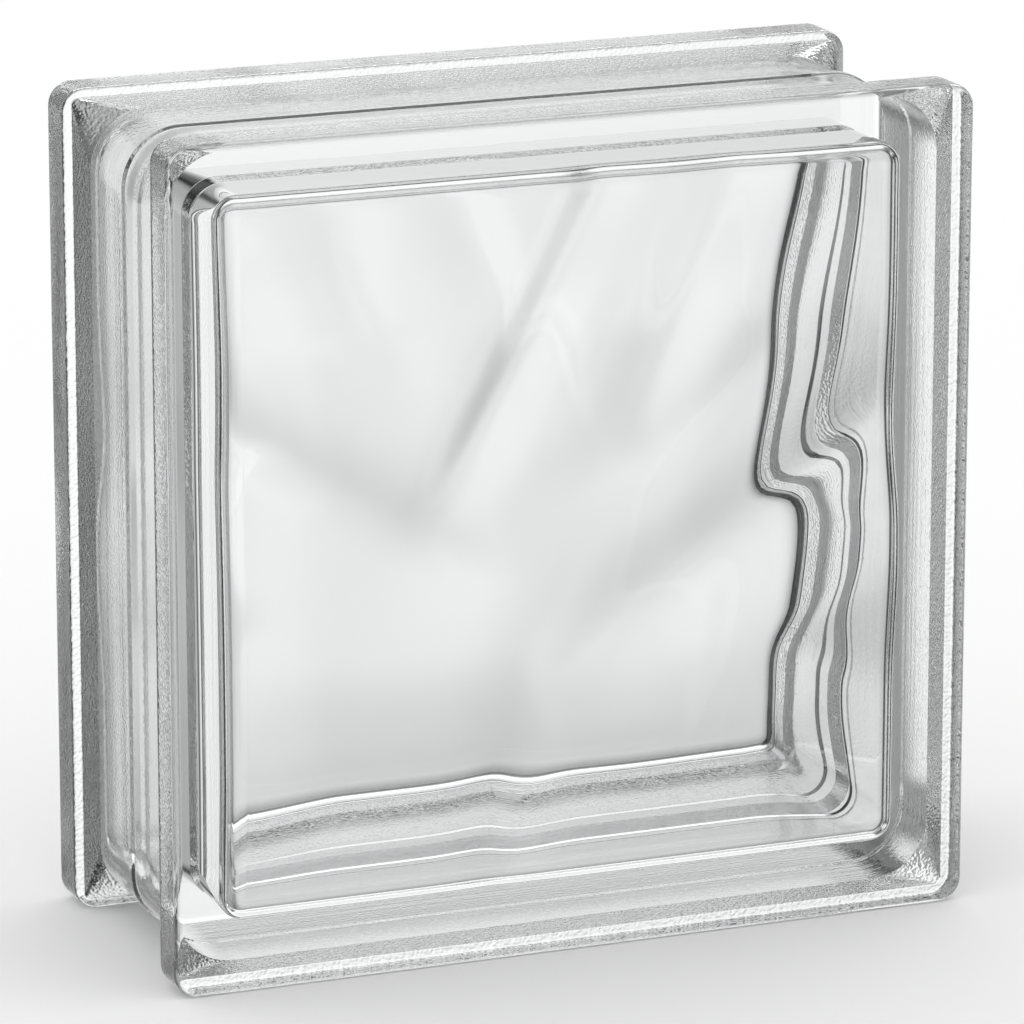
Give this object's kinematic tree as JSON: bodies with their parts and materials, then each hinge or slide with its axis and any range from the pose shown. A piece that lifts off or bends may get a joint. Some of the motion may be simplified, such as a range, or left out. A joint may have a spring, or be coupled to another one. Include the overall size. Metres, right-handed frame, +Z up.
{
  "type": "glass block",
  "caption": "Square hollow glass building block: clear front pane, satin back pane, wavy relief inside, and a mortar channel round its four edges.",
  "frame": {"origin": "middle of the bottom, halfway between the two faces", "axes": "+Z up, -Y out of the clear front face, +Y out of the satin back face, +X to the right seen from the front"},
  "size_m": [0.19, 0.08, 0.19],
  "materials": {
    "clear_glass": "fire-polished clear glass, back face satin"
  },
  "bodies": {
    "root": {"glass_block": "clear_glass"}
  },
  "joints": []
}
